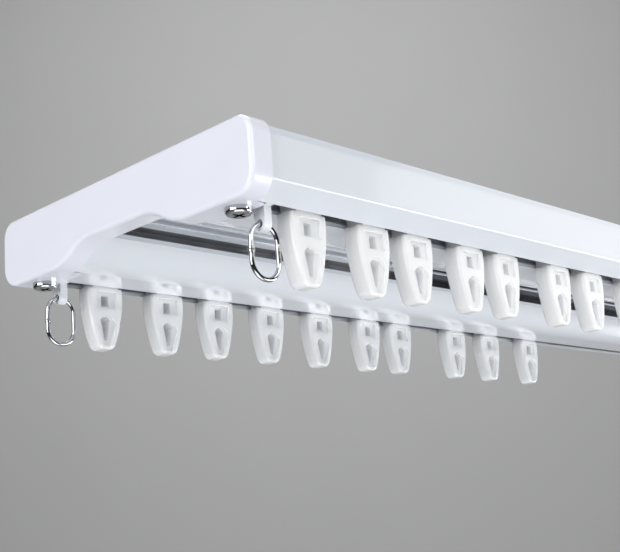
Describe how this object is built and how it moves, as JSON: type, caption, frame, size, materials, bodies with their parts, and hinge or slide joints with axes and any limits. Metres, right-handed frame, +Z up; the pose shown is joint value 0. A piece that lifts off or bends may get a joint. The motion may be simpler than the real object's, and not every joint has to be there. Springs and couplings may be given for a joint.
{
  "type": "curtain track",
  "caption": "Double ceiling curtain track: white aluminium profile with paired running slots, moulded end caps, end stops with wire rings, and leaf-shaped sliding gliders",
  "frame": {"origin": "middle of the face that lies against the ceiling", "axes": "+X along the track, +Y across it from the front rail to the back rail, +Z up towards the ceiling"},
  "size_m": [0.6, 0.111, 0.0385],
  "materials": {
    "white_coat": "gloss white powder coat on aluminium",
    "cap_plastic": "smooth white moulding",
    "screw_chrome": "bright plated steel",
    "stop_plastic": "smooth white moulding",
    "ring_chrome": "bright plated wire",
    "glider_plastic": "milky white moulding"
  },
  "bodies": {
    "track": {"track_profile": "white_coat", "end_cap_left": "cap_plastic", "end_cap_right": "cap_plastic", "end_cap_screws": "screw_chrome", "end_stop_left_front": "stop_plastic", "end_stop_left_back": "stop_plastic", "end_stop_right_front": "stop_plastic", "end_stop_right_back": "stop_plastic"},
    "ring_left_front": {"ring_left_front": "ring_chrome"},
    "ring_left_back": {"ring_left_back": "ring_chrome"},
    "ring_right_front": {"ring_right_front": "ring_chrome"},
    "ring_right_back": {"ring_right_back": "ring_chrome"},
    "glider_front_01": {"glider_front_01": "glider_plastic"},
    "glider_front_02": {"glider_front_02": "glider_plastic"},
    "glider_front_03": {"glider_front_03": "glider_plastic"},
    "glider_front_04": {"glider_front_04": "glider_plastic"},
    "glider_front_05": {"glider_front_05": "glider_plastic"},
    "glider_front_06": {"glider_front_06": "glider_plastic"},
    "glider_front_07": {"glider_front_07": "glider_plastic"},
    "glider_front_08": {"glider_front_08": "glider_plastic"},
    "glider_front_09": {"glider_front_09": "glider_plastic"},
    "glider_front_10": {"glider_front_10": "glider_plastic"},
    "glider_back_01": {"glider_back_01": "glider_plastic"},
    "glider_back_02": {"glider_back_02": "glider_plastic"},
    "glider_back_03": {"glider_back_03": "glider_plastic"},
    "glider_back_04": {"glider_back_04": "glider_plastic"},
    "glider_back_05": {"glider_back_05": "glider_plastic"},
    "glider_back_06": {"glider_back_06": "glider_plastic"},
    "glider_back_07": {"glider_back_07": "glider_plastic"},
    "glider_back_08": {"glider_back_08": "glider_plastic"},
    "glider_back_09": {"glider_back_09": "glider_plastic"},
    "glider_back_10": {"glider_back_10": "glider_plastic"}
  },
  "joints": [
    {"name": "ring_left_front_swing", "type": "hinge", "parent": "track", "child": "ring_left_front", "pos_m": [-0.2874, -0.0447, -0.0237], "axis": [1, 0, 0], "range_deg": [-85, 85]},
    {"name": "ring_left_back_swing", "type": "hinge", "parent": "track", "child": "ring_left_back", "pos_m": [-0.2874, 0.0447, -0.0237], "axis": [1, 0, 0], "range_deg": [-85, 85]},
    {"name": "ring_right_front_swing", "type": "hinge", "parent": "track", "child": "ring_right_front", "pos_m": [0.2874, -0.0447, -0.0237], "axis": [1, 0, 0], "range_deg": [-85, 85]},
    {"name": "ring_right_back_swing", "type": "hinge", "parent": "track", "child": "ring_right_back", "pos_m": [0.2874, 0.0447, -0.0237], "axis": [1, 0, 0], "range_deg": [-85, 85]},
    {"name": "glider_front_01_slide", "type": "slide", "parent": "track", "child": "glider_front_01", "axis": [1, 0, 0], "range_m": [-0.00095, 0.0115]},
    {"name": "glider_front_02_slide", "type": "slide", "parent": "track", "child": "glider_front_02", "axis": [1, 0, 0], "range_m": [-0.0115, 0.0055]},
    {"name": "glider_front_03_slide", "type": "slide", "parent": "track", "child": "glider_front_03", "axis": [1, 0, 0], "range_m": [-0.0055, 0.0113]},
    {"name": "glider_front_04_slide", "type": "slide", "parent": "track", "child": "glider_front_04", "axis": [1, 0, 0], "range_m": [-0.0113, 0.0052]},
    {"name": "glider_front_05_slide", "type": "slide", "parent": "track", "child": "glider_front_05", "axis": [1, 0, 0], "range_m": [-0.0052, 0.0162]},
    {"name": "glider_front_06_slide", "type": "slide", "parent": "track", "child": "glider_front_06", "axis": [1, 0, 0], "range_m": [-0.0162, 0.0078]},
    {"name": "glider_front_07_slide", "type": "slide", "parent": "track", "child": "glider_front_07", "axis": [1, 0, 0], "range_m": [-0.0078, 0.0145]},
    {"name": "glider_front_08_slide", "type": "slide", "parent": "track", "child": "glider_front_08", "axis": [1, 0, 0], "range_m": [-0.0145, 0.015]},
    {"name": "glider_front_09_slide", "type": "slide", "parent": "track", "child": "glider_front_09", "axis": [1, 0, 0], "range_m": [-0.015, 0.013]},
    {"name": "glider_front_10_slide", "type": "slide", "parent": "track", "child": "glider_front_10", "axis": [1, 0, 0], "range_m": [-0.013, 0.33195]},
    {"name": "glider_back_01_slide", "type": "slide", "parent": "track", "child": "glider_back_01", "axis": [1, 0, 0], "range_m": [-0.00195, 0.0109]},
    {"name": "glider_back_02_slide", "type": "slide", "parent": "track", "child": "glider_back_02", "axis": [1, 0, 0], "range_m": [-0.0109, 0.0085]},
    {"name": "glider_back_03_slide", "type": "slide", "parent": "track", "child": "glider_back_03", "axis": [1, 0, 0], "range_m": [-0.0085, 0.0109]},
    {"name": "glider_back_04_slide", "type": "slide", "parent": "track", "child": "glider_back_04", "axis": [1, 0, 0], "range_m": [-0.0109, 0.0119]},
    {"name": "glider_back_05_slide", "type": "slide", "parent": "track", "child": "glider_back_05", "axis": [1, 0, 0], "range_m": [-0.0119, 0.0133]},
    {"name": "glider_back_06_slide", "type": "slide", "parent": "track", "child": "glider_back_06", "axis": [1, 0, 0], "range_m": [-0.0133, 0.0059]},
    {"name": "glider_back_07_slide", "type": "slide", "parent": "track", "child": "glider_back_07", "axis": [1, 0, 0], "range_m": [-0.0059, 0.0227]},
    {"name": "glider_back_08_slide", "type": "slide", "parent": "track", "child": "glider_back_08", "axis": [1, 0, 0], "range_m": [-0.0227, 0.0111]},
    {"name": "glider_back_09_slide", "type": "slide", "parent": "track", "child": "glider_back_09", "axis": [1, 0, 0], "range_m": [-0.0111, 0.0168]},
    {"name": "glider_back_10_slide", "type": "slide", "parent": "track", "child": "glider_back_10", "axis": [1, 0, 0], "range_m": [-0.0168, 0.31895]}
  ]
}
